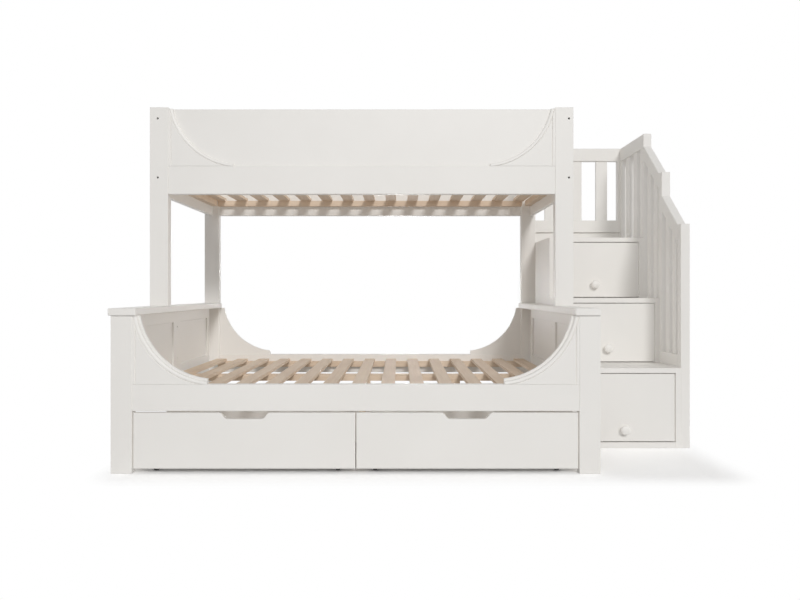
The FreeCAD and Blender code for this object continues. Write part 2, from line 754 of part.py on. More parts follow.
def stepped_side(label, x):
    """A side board cut to the steps."""
    outline = [(RISERS[0], "0"), (STAIR_BACK, "0"), (STAIR_BACK, TREAD_TOPS[2]), (RISERS[2], TREAD_TOPS[2]),
               (RISERS[2], TREAD_TOPS[1]), (RISERS[1], TREAD_TOPS[1]), (RISERS[1], TREAD_TOPS[0]),
               (RISERS[0], TREAD_TOPS[0])]
    body = new_body(label)
    pad(body, "YZ", x, "stair_board", [outline])
    break_edges(body, "edge_break / 2")
    if label.endswith("left"):
        for z in ("stile_screw_low", "stile_screw_high"):
            bore(body, "X", (x, STILE_MIDDLE, z), "screw_radius", "stair_screw_grip")


def stair_case():
    stepped_side("stair_side_left", END_RIGHT)
    stepped_side("stair_side_right", STAIR_IN_RIGHT)
    inner = "stair_width - 2 * stair_board"
    base = (inner, f"{STAIR_BACK} - {RISERS[0]}", "base_height")
    boards("stair_base", [((STAIR_IN_LEFT, RISERS[0], "0"), base)])
    panel = ("stair_width", "stair_board", f"{LANDING} + back_upstand")
    boards("stair_back", [((END_RIGHT, STAIR_BACK, "0"), panel)])
    for index, (riser, top) in enumerate(zip(RISERS, TREAD_TOPS), start=1):
        tread = (inner, f"{STAIR_BACK} - {riser}", "stair_board")
        corner = (STAIR_IN_LEFT, riser, f"({top} - stair_board)")
        body = boards(f"stair_tread_{index}", [(corner, tread)], broken=False)
        break_edges(body, "edge_break / 2")


def runner_z(index):
    """Lowest edge of the runners of one stair drawer."""
    return f"({FLOORS[index]} + stair_box_lift + runner_drop)"


def box_front(index):
    """Where a stair drawer's box meets its front."""
    return f"({RISERS[index]} + rail_setback + face_thickness)"


def box_depth(index):
    """Depth of a stair drawer's box, which reaches nearly to the back panel."""
    return f"({STAIR_BACK} - stair_box_gap - {box_front(index)})"


def runners():
    """Hardwood runners on the stair sides, one in the groove of each drawer side."""
    boxes = []
    for index in range(len(RISERS)):
        size = ("stair_box_play + runner_bite", f"{box_depth(index)} - face_thickness", "runner_height")
        y = f"({box_front(index)} + face_thickness)"
        boxes.append(((STAIR_IN_LEFT, y, runner_z(index)), size))
        boxes.append(((f"({STAIR_IN_RIGHT} - stair_box_play - runner_bite)", y, runner_z(index)), size))
    boards("drawer_runners", boxes, broken=False)


def grooved_side(body, side, index):
    """One side of a stair drawer, grooved along its outer face for the runner."""
    low_z = f"({FLOORS[index]} + stair_box_lift)"
    high_z = f"({low_z} + stair_box_height)"
    groove_low = f"({runner_z(index)} - runner_play)"
    groove_high = f"({runner_z(index)} + runner_height + runner_play)"
    if side == "left":
        outer = f"({STAIR_IN_LEFT} + stair_box_play)"
        way = 1
    else:
        outer = f"({STAIR_IN_RIGHT} - stair_box_play)"
        way = -1
    inner = f"({outer} + {way} * stair_box_side)"
    groove = f"({outer} + {way} * (runner_bite + runner_play))"
    outline = [(outer, low_z), (inner, low_z), (inner, high_z), (outer, high_z), (outer, groove_high),
               (groove, groove_high), (groove, groove_low), (outer, groove_low)]
    pad(body, "XZ", box_front(index), box_depth(index), [outline])


def stair_box(index):
    """Grooved sides, back and bottom of a stair drawer."""
    body = new_body(f"stair_drawer_{index + 1}_box")
    for side in SIGN:
        grooved_side(body, side, index)
    low_z = f"({FLOORS[index]} + stair_box_lift)"
    front = box_front(index)
    inner_x = f"({STAIR_IN_LEFT} + stair_box_play + stair_box_side)"
    width = "stair_width - 2 * stair_board - 2 * stair_box_play - 2 * stair_box_side"
    inner_depth = f"({box_depth(index)} - stair_box_side)"
    back = f"({front} + {inner_depth})"
    add_box(body, (inner_x, back, low_z), (width, "stair_box_side", "stair_box_height"))
    add_box(body, (inner_x, front, low_z), (width, inner_depth, "box_bottom"))


def stair_face(index):
    """The inset front of a stair drawer."""
    low_z = f"({FLOORS[index]} + face_gap)"
    body = new_body(f"stair_drawer_{index + 1}_front")
    width = "stair_width - 2 * stair_board - 2 * face_gap"
    height = f"{TREAD_TOPS[index]} - stair_board - face_gap - {low_z}"
    corner = (f"({STAIR_IN_LEFT} + face_gap)", f"({RISERS[index]} + rail_setback)", low_z)
    add_box(body, corner, (width, "face_thickness", height))
    face = value(f"{RISERS[index]} + rail_setback")
    bevel_edges(body, "board_bevel / 2", lambda edge: abs(edge.BoundBox.YMax - face) < TOUCHING)


def knob(index):
    """A turned wooden knob, a round head on a neck, on an axis along Y."""
    body = new_body(f"stair_drawer_{index + 1}_knob")
    height = "knob_height_low" if index == 0 else "knob_height"
    place = (f"({RISERS[index]} + rail_setback)", f"({FLOORS[index]} + face_gap + {height})",
             f"({STAIR_MIDDLE} - knob_offset)")
    outline = [("0", "0"), ("0", "knob_neck"), ("-knob_shank", "knob_neck"), ("-knob_shank", "knob_radius"),
               ("-knob_length", "knob_radius"), ("-knob_length", "0")]
    revolve(body, ("YZ", place), outline)


def stair_drawers():
    for index in range(len(RISERS)):
        stair_face(index)
        stair_box(index)
        knob(index)


# ---------------------------------------------------------------- railing and back guard

def sloped_bar(low_y, low_top, high_y, high_top):
    """A handrail seen from the side that climbs to the back, cut upright at both posts."""
    return [(low_y, f"({low_top} - handrail_drop)"), (high_y, f"({high_top} - handrail_drop)"),
            (high_y, high_top), (low_y, low_top)]


def under_slope(y, low_y, low_top):
    """Height of the underside of a sloped handrail at y."""
    return f"({low_top} - handrail_drop + handrail_slope * ({y} - {low_y}))"


def two_slats(low_y, high_y, width):
    """Low and high Y of two slats with three equal gaps between two posts."""
    gap = f"(({high_y} - {low_y} - 2 * {width}) / 3)"
    first = f"({low_y} + {gap})"
    second = f"({first} + {width} + {gap})"
    return [(first, f"({first} + {width})"), (second, f"({second} + {width})")]


def railing():
    """Posts from the floor, handrails that step down with the stairs, bottom rails and slats."""
    spans = list(zip(POST_BACKS[:3], POST_FRONTS[1:]))
    posts = new_body("railing_posts")
    pad(posts, "YZ", STAIR_RIGHT, "railing_width",
        [rectangle(front, "0", back, top) for front, back, top in zip(POST_FRONTS, POST_BACKS, POST_TOPS)])
    break_edges(posts)

    handrails = new_body("handrails")
    pad(handrails, "YZ", STAIR_RIGHT, "railing_width", [
        sloped_bar(spans[0][0], LOWER_SLOPE_LOW, spans[0][1], LOWER_SLOPE_HIGH),
        sloped_bar(spans[1][0], UPPER_SLOPE_LOW, spans[1][1], UPPER_SLOPE_HIGH),
        rectangle(f"({POST_FRONTS[2]} + joint_gap)", LANDING_RAIL, "lower_depth", "handrail_top"),
    ])
    bevel_edges(handrails, "board_bevel",
                lambda edge: not runs_along(edge, "X") and not runs_along(edge, "Z"))

    rail_tops = (f"({TREAD_TOPS[0]} + bottom_rail)", TREAD_TOPS[1], TREAD_TOPS[2])
    boxes = []
    for (low_y, high_y), top in zip(spans, rail_tops):
        corner = (STAIR_RIGHT, low_y, f"({top} - bottom_rail)")
        boxes.append((corner, ("railing_width", f"{high_y} - {low_y}", "bottom_rail")))
    boards("railing_bottom_rails", boxes)

    outlines = []
    for (low_y, high_y), foot, low_top in zip(spans[:2], rail_tops, (LOWER_SLOPE_LOW, UPPER_SLOPE_LOW)):
        for front, back in two_slats(low_y, high_y, "railing_slat_width"):
            outlines.append([(front, foot), (back, foot), (back, under_slope(back, low_y, low_top)),
                             (front, under_slope(front, low_y, low_top))])
    for front, back in two_slats(*spans[2], "landing_slat_width"):
        outlines.append(rectangle(front, rail_tops[2], back, LANDING_RAIL))
    slat_row = new_body("railing_slats")
    slat_x = f"{STAIR_RIGHT} + (railing_width - railing_slat_thickness) / 2"
    pad(slat_row, "YZ", slat_x, "railing_slat_thickness", outlines)


def back_guard():
    """Two rails, three slats and a thin end stile that close the back of the landing."""
    low_z = f"({LANDING} + back_upstand)"
    slat_low = f"({low_z} + guard_rail_low)"
    slat_high = "(handrail_top - guard_rail_high)"
    rail_y = "(lower_depth - guard_depth)"
    slat_y = "(lower_depth - guard_depth / 2 - guard_slat_thickness / 2)"
    stile_x = f"({STAIR_RIGHT} - guard_stile)"
    slat_size = ("guard_slat_width", "guard_slat_thickness", f"{slat_high} - {slat_low}")
    middle = f"(({END_RIGHT} + {stile_x}) / 2)"
    boards("back_guard", [
        ((END_RIGHT, rail_y, low_z), ("stair_width", "guard_depth", "guard_rail_low")),
        ((END_RIGHT, rail_y, slat_high), ("stair_width", "guard_depth", "guard_rail_high")),
        ((stile_x, rail_y, slat_low), ("guard_stile", "guard_depth", f"{slat_high} - {slat_low}")),
        *[((f"({middle} + {place} * guard_slat_pitch - guard_slat_width / 2)", slat_y, slat_low), slat_size)
          for place in (-1, 0, 1)],
    ])


# ---------------------------------------------------------------- the whole bed

lower_bed()
all_brackets()
slatted_bases()
upper_bed()
screws()
under_bed_drawers()
stair_case()
runners()
stair_drawers()
railing()
back_guard()
doc.recompute()

for item in doc.Objects:
    if "Invalid" in item.State or "Error" in item.State:
        raise RuntimeError(f"{item.Label} ({item.Name}) failed: {item.State}")

os.makedirs("parts", exist_ok=True)
for item in doc.Objects:
    if item.TypeId != "PartDesign::Body":
        continue
    if item.Shape.isNull() or not item.Shape.isValid():
        raise RuntimeError(f"{item.Label} has no sound shape")
    item.Shape.exportStep(f"parts/{item.Label}.step")
    print(f"{item.Label}: {len(item.Shape.Solids)} solid(s), {item.Shape.Volume / 1000:.1f} cm3")
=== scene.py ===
"""Looks of a white bunk bed with storage stairs.

Lacquered timber, bare slats, moulded corner brackets and turned knobs stand in a soft studio and are seen
from the photo's view.
"""

import math

import bmesh
import bpy
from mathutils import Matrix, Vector
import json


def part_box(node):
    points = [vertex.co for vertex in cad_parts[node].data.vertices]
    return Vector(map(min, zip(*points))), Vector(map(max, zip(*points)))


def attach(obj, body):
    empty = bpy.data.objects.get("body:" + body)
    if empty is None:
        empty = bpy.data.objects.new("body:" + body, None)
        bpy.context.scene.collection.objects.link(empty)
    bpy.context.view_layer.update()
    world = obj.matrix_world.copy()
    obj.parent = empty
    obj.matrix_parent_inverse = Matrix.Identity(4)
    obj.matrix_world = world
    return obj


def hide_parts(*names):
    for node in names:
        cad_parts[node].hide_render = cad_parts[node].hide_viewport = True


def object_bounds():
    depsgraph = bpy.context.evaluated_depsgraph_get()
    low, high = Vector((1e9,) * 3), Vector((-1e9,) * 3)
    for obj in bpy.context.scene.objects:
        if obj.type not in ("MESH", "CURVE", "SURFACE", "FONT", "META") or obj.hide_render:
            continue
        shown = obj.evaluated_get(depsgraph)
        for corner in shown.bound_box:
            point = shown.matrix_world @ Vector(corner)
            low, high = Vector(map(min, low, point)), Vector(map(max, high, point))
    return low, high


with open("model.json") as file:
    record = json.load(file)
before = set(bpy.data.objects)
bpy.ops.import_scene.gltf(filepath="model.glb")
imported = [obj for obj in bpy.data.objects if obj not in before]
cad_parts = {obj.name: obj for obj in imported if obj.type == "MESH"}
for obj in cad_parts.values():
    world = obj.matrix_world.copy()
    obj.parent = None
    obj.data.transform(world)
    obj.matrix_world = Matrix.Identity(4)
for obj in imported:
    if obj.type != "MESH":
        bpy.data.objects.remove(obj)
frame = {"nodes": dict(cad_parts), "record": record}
bounds_at_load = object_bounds()
NODES = frame["nodes"]

# ---------------------------------------------------------------- view, in metres and in pixels of the photo
# The photo has one vanishing point, in the middle of its width: the camera is level and square to the bed.

CAMERA_AT = (-0.0939, -3.5745, 0.7425)
LENS_PX = 702.5
IMAGE_WIDTH_PX = 800
IMAGE_MIDDLE_PX = 300
HORIZON_PX = 292
SENSOR_MM = 36.0

# ---------------------------------------------------------------- studio, in metres
# The camera sees the shadow on the floor under the bed and for some way behind it. The shadow fades out over
# its reach, which starts at the bed's front and inset from its two ends.

SKY_AS_SEEN = 1.0
SKY_LIGHT = 0.36
FLOOR_SIZE = 60
FLOOR_AS_SEEN = 1.25
FLOOR_REFLECTANCE = 0.85
FLOOR_SHADOW_INSET = 0.12
FLOOR_SHADOW_REACH = 0.20
FLOOR_SHADOW_BEHIND = 1.30
LAMP_DISTANCE = 5
KEY_FROM = (0.4, -1.9, 1.0)
KEY_SPREAD = math.radians(12)
KEY_STRENGTH = 1.22
SOFTBOX_AT = Vector((0.0, -4.2, 2.6))
SOFTBOX_AIM = Vector((0.0, -0.2, 1.3))
SOFTBOX_SIZE = (2.2, 1.6)
SOFTBOX_POWER = 20
FILL_SPREAD = math.radians(5)
FILL_FROM = {"front": (0, -1, 0), "back": (0, 1, 0), "left": (-1, 0, 0), "right": (1, 0, 0)}
FILL_STRENGTH = {"front": 0.08, "back": 0.75, "left": 0.25, "right": 0.50}

# ---------------------------------------------------------------- colours, linear, from dark to light

WHITE_TONES = ((0.800, 0.780, 0.747), (0.825, 0.806, 0.775))
PINE_TONES = ((0.64, 0.49, 0.36), (0.81, 0.67, 0.53))
ZINC_TONES = ((0.46, 0.46, 0.47), (0.62, 0.62, 0.63))
# Painted shade: the screws are near-black to stand in for the shade in the recesses they sit in.
SCREW_RECESS_SHADE_TONES = ((0.02, 0.02, 0.02), (0.05, 0.05, 0.05))
PLASTIC_TONES = ((0.012, 0.012, 0.013), (0.022, 0.022, 0.024))

# ---------------------------------------------------------------- surfaces
# Noise scales are per metre. A stretch is one scale along the grain and one across it, or one for each axis.
# A roughness is a range, and a relief is its strength and its height in metres.

UNSTRETCHED = (1.0, 1.0, 1.0)
TONE_RAMP = (0.3, 0.7)
EDGE_RADIUS = 0.0016
EDGE_SAMPLES = 6

PAINT_PATCHES = 2.2
PAINT_SPRAY = 320.0
PAINT_GRAIN = 3.0
PAINT_GRAIN_STRETCH = (2.0, 60.0)
PAINT_GRAIN_SHARE = 0.75
PAINT_ROUGHNESS = (0.36, 0.50)
PAINT_RELIEF = (0.10, 0.0005)

PINE_STREAKS = 3.0
PINE_STREAK_STRETCH = (1.1, 26.0)
PINE_STREAK_SHARE = 0.55
PINE_BOARDS = 7.0
PINE_BOARD_STRETCH = (0.3, 1.0)
PINE_ROUGHNESS = (0.50, 0.66)
PINE_RELIEF = (0.12, 0.0006)

STEEL_BRUSHING = 4.0
STEEL_STRETCH = (60.0, 60.0, 8.0)
STEEL_ROUGHNESS = (0.28, 0.46)

PLASTIC_GRAIN = 500.0
PLASTIC_ROUGHNESS = (0.42, 0.58)
PLASTIC_RELIEF = (0.10, 0.0002)

# ---------------------------------------------------------------- new pieces, in metres

SHARP_ANGLE = math.radians(32)

# A bracket reaches from the post to an upright tip. The centre of its hollow is above the tip and farther
# from the post. The lip is how far the outer board's edge stands back from the inner one's.
BRACKET_REACH = 0.306
BRACKET_CENTRE = 0.034
BRACKET_RADIUS = 0.317
BRACKET_LIP = 0.010
BRACKET_TIP = 0.022
BRACKET_LAYER = 0.014
ARC_STEPS = 44
OVOLO = 0.009
OVOLO_STEPS = 6
QUIRK_AT = 0.013
QUIRK_WIDTH = 0.0045
QUIRK_DEPTH = 0.0045
GROOVE_AT = 0.010
EASED_EDGE = 0.001
TOLERANCE = 1e-5

# A knob's neck narrows by its waist. The head starts at an angle from its axis.
KNOB_SIDES = 56
KNOB_STEPS = 18
NECK_LENGTH = 0.014
NECK_RADIUS = 0.0105
NECK_WAIST = 0.0025
HEAD_START = math.radians(27)
MERGE_WITHIN = 1e-6

# ---------------------------------------------------------------- materials


def new_material(name):
    """A material whose node tree holds its shader and its output."""
    material = bpy.data.materials.new(name)
    material.use_nodes = True
    return material, material.node_tree.nodes, material.node_tree.links


def object_coordinates(nodes, links, scale):
    """Mesh coordinates, in metres and in the frame's axes, stretched by a scale along each axis."""
    where = nodes.new("ShaderNodeTexCoord")
    mapping = nodes.new("ShaderNodeMapping")
    mapping.inputs["Scale"].default_value = scale
    links.new(where.outputs["Object"], mapping.inputs["Vector"])
    return mapping.outputs["Vector"]


def grain_coordinates(nodes, links, axis, stretch):
    """Mesh coordinates stretched by one scale along an axis and by another across it."""
    along, across = stretch
    return object_coordinates(nodes, links, tuple(along if letter == axis else across for letter in "XYZ"))


def noise(nodes, links, vector, scale, detail=4.0, roughness=0.55):
    """Fractal noise, from 0 to 1."""
    texture = nodes.new("ShaderNodeTexNoise")
    texture.inputs["Scale"].default_value = scale
    texture.inputs["Detail"].default_value = detail
    texture.inputs["Roughness"].default_value = roughness
    links.new(vector, texture.inputs["Vector"])
    return texture.outputs["Fac"]


def between_tones(nodes, links, factor, tones):
    """A colour ramp from the dark tone to the light one."""
    ramp = nodes.new("ShaderNodeValToRGB")
    for stop, tone, position in zip(ramp.color_ramp.elements, tones, TONE_RAMP):
        stop.color = (*tone, 1)
        stop.position = position
    links.new(factor, ramp.inputs["Fac"])
    return ramp.outputs["Color"]


def between_values(nodes, links, factor, values):
    """The factor from 0 to 1 carried to a range of numbers."""
    spread = nodes.new("ShaderNodeMapRange")
    spread.inputs["To Min"].default_value = values[0]
    spread.inputs["To Max"].default_value = values[1]
    links.new(factor, spread.inputs["Value"])
    return spread.outputs["Result"]


def weighted_sum(nodes, links, first, second, share):
    """The first factor by its share and the second by the rest."""
    rest = nodes.new("ShaderNodeMath")
    rest.operation = "MULTIPLY"
    rest.inputs[1].default_value = 1 - share
    links.new(second, rest.inputs[0])
    total = nodes.new("ShaderNodeMath")
    total.operation = "MULTIPLY_ADD"
    total.inputs[1].default_value = share
    links.new(first, total.inputs[0])
    links.new(rest.outputs["Value"], total.inputs[2])
    return total.outputs["Value"]


def add_relief(nodes, links, shader, height, relief, edge_radius=EDGE_RADIUS):
    """Fine relief from a height, on edges that are slightly broken."""
    edge = nodes.new("ShaderNodeBevel")
    edge.samples = EDGE_SAMPLES
    edge.inputs["Radius"].default_value = edge_radius
    bump = nodes.new("ShaderNodeBump")
    bump.inputs["Strength"].default_value = relief[0]
    bump.inputs["Distance"].default_value = relief[1]
    links.new(edge.outputs["Normal"], bump.inputs["Normal"])
    links.new(height, bump.inputs["Height"])
    links.new(bump.outputs["Normal"], shader.inputs["Normal"])


def lacquer(name, axis):
    """Sprayed satin paint on planed timber, whose grain still shows faintly along the board."""
    material, nodes, links = new_material(name)
    shader = nodes["Principled BSDF"]
    plain = object_coordinates(nodes, links, UNSTRETCHED)
    board = grain_coordinates(nodes, links, axis, PAINT_GRAIN_STRETCH)
    patches = noise(nodes, links, plain, PAINT_PATCHES, detail=2.0)
    spray = noise(nodes, links, plain, PAINT_SPRAY, detail=2.0)
    grain = noise(nodes, links, board, PAINT_GRAIN, detail=5.0)
    surface = weighted_sum(nodes, links, grain, spray, PAINT_GRAIN_SHARE)
    links.new(between_tones(nodes, links, patches, WHITE_TONES), shader.inputs["Base Color"])
    links.new(between_values(nodes, links, surface, PAINT_ROUGHNESS), shader.inputs["Roughness"])
    add_relief(nodes, links, shader, surface, PAINT_RELIEF)
    return material


def timber(name, axis):
    """Planed softwood: grain streaks along one axis, and a tone that changes from board to board."""
    material, nodes, links = new_material(name)
    shader = nodes["Principled BSDF"]
    fibres = grain_coordinates(nodes, links, axis, PINE_STREAK_STRETCH)
    streaks = noise(nodes, links, fibres, PINE_STREAKS, detail=6.0, roughness=0.62)
    boards = noise(nodes, links, grain_coordinates(nodes, links, axis, PINE_BOARD_STRETCH), PINE_BOARDS,
                   detail=1.0)
    tone = weighted_sum(nodes, links, streaks, boards, PINE_STREAK_SHARE)
    links.new(between_tones(nodes, links, tone, PINE_TONES), shader.inputs["Base Color"])
    links.new(between_values(nodes, links, streaks, PINE_ROUGHNESS), shader.inputs["Roughness"])
    add_relief(nodes, links, shader, streaks, PINE_RELIEF)
    return material


def plated_steel(name, tones):
    """Plated steel with a brushed sheen."""
    material, nodes, links = new_material(name)
    shader = nodes["Principled BSDF"]
    shader.inputs["Metallic"].default_value = 1.0
    brushed = noise(nodes, links, object_coordinates(nodes, links, STEEL_STRETCH), STEEL_BRUSHING)
    links.new(between_tones(nodes, links, brushed, tones), shader.inputs["Base Color"])
    links.new(between_values(nodes, links, brushed, STEEL_ROUGHNESS), shader.inputs["Roughness"])
    return material


def moulded_plastic(name):
    """Dark matt plastic with a fine grain."""
    material, nodes, links = new_material(name)
    shader = nodes["Principled BSDF"]
    grain = noise(nodes, links, object_coordinates(nodes, links, UNSTRETCHED), PLASTIC_GRAIN)
    links.new(between_tones(nodes, links, grain, PLASTIC_TONES), shader.inputs["Base Color"])
    links.new(between_values(nodes, links, grain, PLASTIC_ROUGHNESS), shader.inputs["Roughness"])
    add_relief(nodes, links, shader, grain, PLASTIC_RELIEF, EDGE_RADIUS / 2)
    return material


WHITE = {axis: lacquer(f"white_paint_{axis}", axis) for axis in "XYZ"}
PINE = {axis: timber(f"bare_wood_{axis}", axis) for axis in "XYZ"}
STEEL = plated_steel("steel", ZINC_TONES)
# Steel painted near-black, for the shade in the screws' recesses.
SCREWS_IN_PAINTED_SHADE = plated_steel("steel_painted_recess_shade", SCREW_RECESS_SHADE_TONES)
PLASTIC = moulded_plastic("wheel_plastic")
SLATS = ("lower_slats", "upper_slats")


def grain_axis(node):
    """The letter of the axis along which a node's boards run: Y for the slats, the longest for the rest."""
    if node in SLATS:
        return "Y"
    low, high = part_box(node)
    lengths = [high[index] - low[index] for index in range(3)]
    return "XYZ"[lengths.index(max(lengths))]


def finish_of(part):
    """The material of a CAD node, by its slot in the record and the run of its grain."""
    slot = part["material_slot"]
    # The connector screws get steel painted near-black, for the shade in their recesses.
    if part["node"] == "connector_screws":
        return SCREWS_IN_PAINTED_SHADE
    if slot == "steel":
        return STEEL
    if slot == "wheel_plastic":
        return PLASTIC
    finishes = WHITE if slot == "white_paint" else PINE
    return finishes[grain_axis(part["node"])]


def paint_nodes():
    """Gives every CAD node its finish."""
    for part in frame["record"]["subparts"]:
        materials = NODES[part["node"]].data.materials
        materials.clear()
        materials.append(finish_of(part))


def add_piece(mesh, name, material, node, body):
    """Makes a bmesh a painted piece that stands for a CAD node and rides on its body."""
    bmesh.ops.recalc_face_normals(mesh, faces=mesh.faces)
    for face in mesh.faces:
        face.smooth = True
    data = bpy.data.meshes.new(name)
    mesh.to_mesh(data)
    mesh.free()
    data.set_sharp_from_angle(angle=SHARP_ANGLE)
    data.materials.append(material)
    piece = bpy.data.objects.new(name, data)
    bpy.context.scene.collection.objects.link(piece)
    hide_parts(node)
    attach(piece, body)


# ---------------------------------------------------------------- moulded brackets


def moulded_edge():
    """Distance into the board and depth below its face: a quarter-round, a flat and a V-shaped quirk."""
    profile = []
    for step in range(OVOLO_STEPS + 1):
        angle = math.pi / 2 * step / OVOLO_STEPS
        profile.append((OVOLO * (1 - math.cos(angle)), OVOLO * (1 - math.sin(angle))))
    profile.append((QUIRK_AT, 0.0))
    profile.append((QUIRK_AT + QUIRK_WIDTH / 2, QUIRK_DEPTH))
    profile.append((QUIRK_AT + QUIRK_WIDTH, 0.0))
    return profile


def eased_edge():
    """Distance into the board and depth below its face: a slightly broken edge."""
    return [(0.0, EASED_EDGE), (EASED_EDGE, 0.0)]


class BracketBoard:
    """A board with a hollow quarter-round edge, which stands on its foot against a post.

    Its x runs rightwards from the bed's middle to the post, its z upwards, and its depth from its face into
    the board. A side of -1 mirrors it to the bed's left end.
    """

    def __init__(self, mesh, node, side, face_y, inwards, radius):
        low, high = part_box(node)
        self.mesh = mesh
        self.side = side
        self.face_y = face_y
        self.inwards = inwards
        self.radius = radius
        self.middle_x = (low[0] + high[0]) / 2
        self.post_x = (high[0] - low[0]) / 2
        self.foot = low[2]
        self.top = high[2]
        self.centre_x = self.post_x - BRACKET_REACH - BRACKET_CENTRE
        self.centre_z = self.foot + BRACKET_TIP + math.sqrt(BRACKET_RADIUS**2 - BRACKET_CENTRE**2)

    def vertex(self, x, z, depth):
        """A new vertex at a place in the board."""
        place = (self.middle_x + self.side * x, self.face_y + self.inwards * depth, z)
        return self.mesh.verts.new(place)

    def arc_angles(self, radius):
        """Angles from straight down along an arc, from the board's tip or foot to its top or the post."""
        start = math.asin(BRACKET_CENTRE / radius)
        drop = self.centre_z - self.foot
        if radius > drop:
            start = max(start, math.acos(drop / radius))
        end = math.acos((self.centre_z - self.top) / radius)
        across = self.post_x - self.centre_x
        if radius > across:
            end = min(end, math.asin(across / radius))
        return [start + (end - start) * step / ARC_STEPS for step in range(ARC_STEPS + 1)]

    def meet_groove(self, radius, angles):
        """Moves two steps of an arc to the two sides of the upright groove. Gives the first one's number."""
        across = self.post_x - self.centre_x - GROOVE_AT
        sides = [math.asin((across - QUIRK_WIDTH) / radius), math.asin(across / radius)]
        first = next(index for index, angle in enumerate(angles) if angle > sides[0])
        angles[first:first + 2] = sides
        return first

    def arc(self, radius, depth, angles):
        """A row of vertices along an arc."""
        return [self.vertex(self.centre_x + radius * math.sin(angle),
                            self.centre_z - radius * math.cos(angle), depth) for angle in angles]

    def edge_faces(self, rows, corner):
        """The strips between neighbouring rows, with the corner under the tip where a strip passes it."""
        faces = []
        for row, following in zip(rows, rows[1:]):
            for step in range(ARC_STEPS):
                faces.append((row[step], row[step + 1], following[step + 1], following[step]))
            if row[0].co.z > self.foot + TOLERANCE > following[0].co.z:
                faces.append((row[0], corner, following[0]))
        return faces

    def post_corners(self):
        """The face's two corners at the post, from the top down."""
        return self.vertex(self.post_x, self.top, 0.0), self.vertex(self.post_x, self.foot, 0.0)

    def grooved_face(self, row, first):
        """The face inside the last row, parted by an upright V-groove beside the post."""
        right = self.post_x - GROOVE_AT
        middle = right - QUIRK_WIDTH / 2
        left_foot = self.vertex(right - QUIRK_WIDTH, self.foot, 0.0)
        middle_foot = self.vertex(middle, self.foot, QUIRK_DEPTH)
        right_foot = self.vertex(right, self.foot, 0.0)
        left_top = row[first]
        right_top = row[first + 1]
        middle_top = self.vertex(middle, (left_top.co.z + right_top.co.z) / 2, QUIRK_DEPTH)
        return [
            (*row[:first + 1], left_foot),
            (left_top, middle_top, middle_foot, left_foot),
            (middle_top, right_top, right_foot, middle_foot),
            (left_top, right_top, middle_top),
            (*row[first + 1:], *self.post_corners(), right_foot),
        ]

    def thicken(self, faces):
        """Carries the outline of the faces to the board's back and closes it there."""
        rim = [line for face in faces for line in face.edges if line.is_boundary]
        grown = bmesh.ops.extrude_edge_only(self.mesh, edges=rim)["geom"]
        back_rim = []
        for item in grown:
            if isinstance(item, bmesh.types.BMVert):
                item.co.y = self.face_y + self.inwards * BRACKET_LAYER
            elif isinstance(item, bmesh.types.BMEdge) and item.is_boundary:
                back_rim.append(item)
        bmesh.ops.contextual_create(self.mesh, geom=back_rim)

    def build(self, profile, grooved):
        """Makes the board, with an edge that follows the profile from its hollow side to its face."""
        radii = [self.radius + inset for inset, _ in profile]
        depths = [depth for _, depth in profile]
        angles = [self.arc_angles(radius) for radius in radii]
        if grooved:
            first = self.meet_groove(radii[-1], angles[-1])
        rows = [self.arc(*row) for row in zip(radii, depths, angles)]
        corner = self.vertex(self.post_x - BRACKET_REACH, self.foot, 0.0)
        outlines = self.edge_faces(rows, corner)
        if grooved:
            outlines += self.grooved_face(rows[-1], first)
        else:
            outlines.append((*rows[-1], *self.post_corners(), corner))
        self.thicken([self.mesh.faces.new(outline) for outline in outlines])


def moulded_brackets(node, doubled):
    """The four brackets of one bed, in place of their plainer solids. Doubled ones have an inner board."""
    low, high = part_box(node)
    mesh = bmesh.new()
    for face_y, inwards in ((low[1], 1), (high[1], -1)):
        for side in (-1, 1):
            outer = BracketBoard(mesh, node, side, face_y, inwards, BRACKET_RADIUS + BRACKET_LIP)
            outer.build(moulded_edge(), grooved=True)
            if doubled:
                inner_y = face_y + inwards * 2 * BRACKET_LAYER
                inner = BracketBoard(mesh, node, side, inner_y, -inwards, BRACKET_RADIUS)
                inner.build(eased_edge(), grooved=False)
    add_piece(mesh, f"{node}_moulded", WHITE["X"], node, "frame")


# ---------------------------------------------------------------- turned knobs


def knob_profile(length, radius):
    """Distance from the drawer front and radius: a waisted neck, then a head like a flattened ball."""
    half = (length - NECK_LENGTH) / 2
    neck = []
    for step in range(KNOB_STEPS + 1):
        share = step / KNOB_STEPS
        neck.append((share * NECK_LENGTH, NECK_RADIUS - NECK_WAIST * math.sin(math.pi * share)))
    head = []
    for step in range(KNOB_STEPS + 1):
        angle = HEAD_START + (math.pi - HEAD_START) * step / KNOB_STEPS
        head.append((NECK_LENGTH + half - half * math.cos(angle), radius * math.sin(angle)))
    return neck + head


def knob_ring(mesh, middle_x, y, middle_z, radius):
    """A ring of vertices about an axis along Y."""
    ring = []
    for side in range(KNOB_SIDES):
        angle = 2 * math.pi * side / KNOB_SIDES
        place = (middle_x + radius * math.cos(angle), y, middle_z + radius * math.sin(angle))
        ring.append(mesh.verts.new(place))
    return ring


def turned_knob(node, body):
    """A wooden knob turned about an axis along Y, in the place of its plain CAD solid."""
    low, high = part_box(node)
    middle_x = (low[0] + high[0]) / 2
    middle_z = (low[2] + high[2]) / 2
    mesh = bmesh.new()
    profile = knob_profile(high[1] - low[1], (high[0] - low[0]) / 2)
    rings = [knob_ring(mesh, middle_x, high[1] - distance, middle_z, radius) for distance, radius in profile]
    for ring, following in zip(rings, rings[1:]):
        for side in range(KNOB_SIDES):
            next_side = (side + 1) % KNOB_SIDES
            mesh.faces.new((ring[side], ring[next_side], following[next_side], following[side]))
    mesh.faces.new(rings[0])
    bmesh.ops.remove_doubles(mesh, verts=mesh.verts, dist=MERGE_WITHIN)
    add_piece(mesh, f"{node}_turned", WHITE["Y"], node, body)


# ---------------------------------------------------------------- studio


